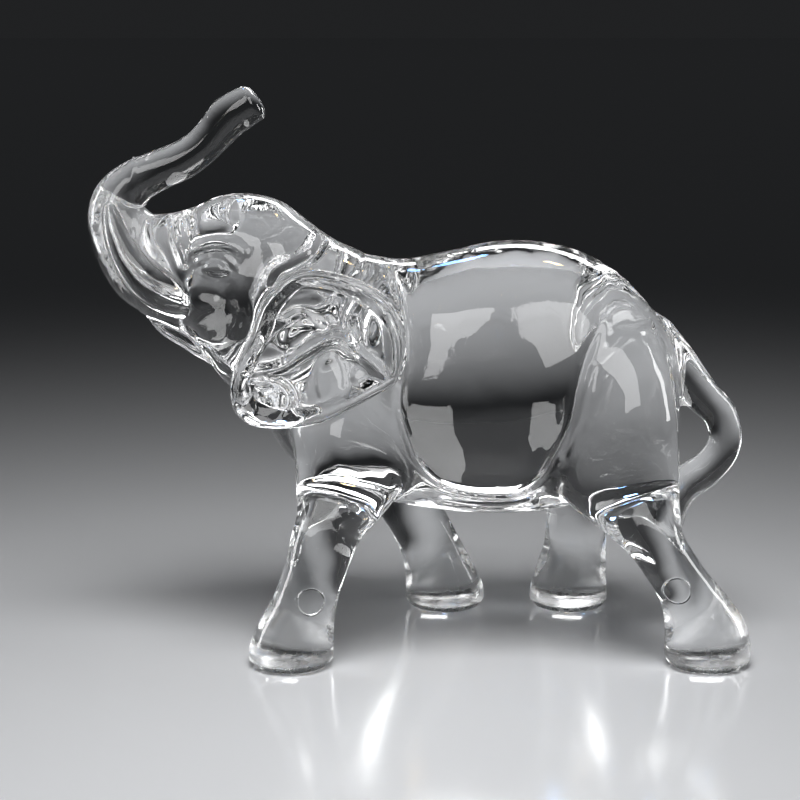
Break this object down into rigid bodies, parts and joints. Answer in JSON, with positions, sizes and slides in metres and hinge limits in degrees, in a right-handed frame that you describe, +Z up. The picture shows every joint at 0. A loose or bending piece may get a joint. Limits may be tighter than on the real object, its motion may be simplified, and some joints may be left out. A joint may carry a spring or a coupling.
{
  "type": "glass elephant figurine",
  "caption": "Solid clear glass elephant figurine, walking with its trunk raised and its tail curled in a loop, standing on flat soles.",
  "frame": {"origin": "on the ground, at the middle of the length between the trunk's bend and the tail's bend, on the mid-plane between the flanks", "axes": "+Z up, the elephant faces -Y, its left flank is on +X"},
  "size_m": [0.066, 0.15, 0.127],
  "materials": {
    "glass": "clear, fire-polished, smooth"
  },
  "bodies": {
    "root": {"torso": "glass", "head": "glass", "trunk": "glass", "lower_jaw": "glass", "tusk_left": "glass", "tusk_right": "glass", "ear_left": "glass", "ear_right": "glass", "leg_front_left": "glass", "leg_front_right": "glass", "leg_hind_left": "glass", "leg_hind_right": "glass", "tail": "glass"}
  },
  "joints": []
}
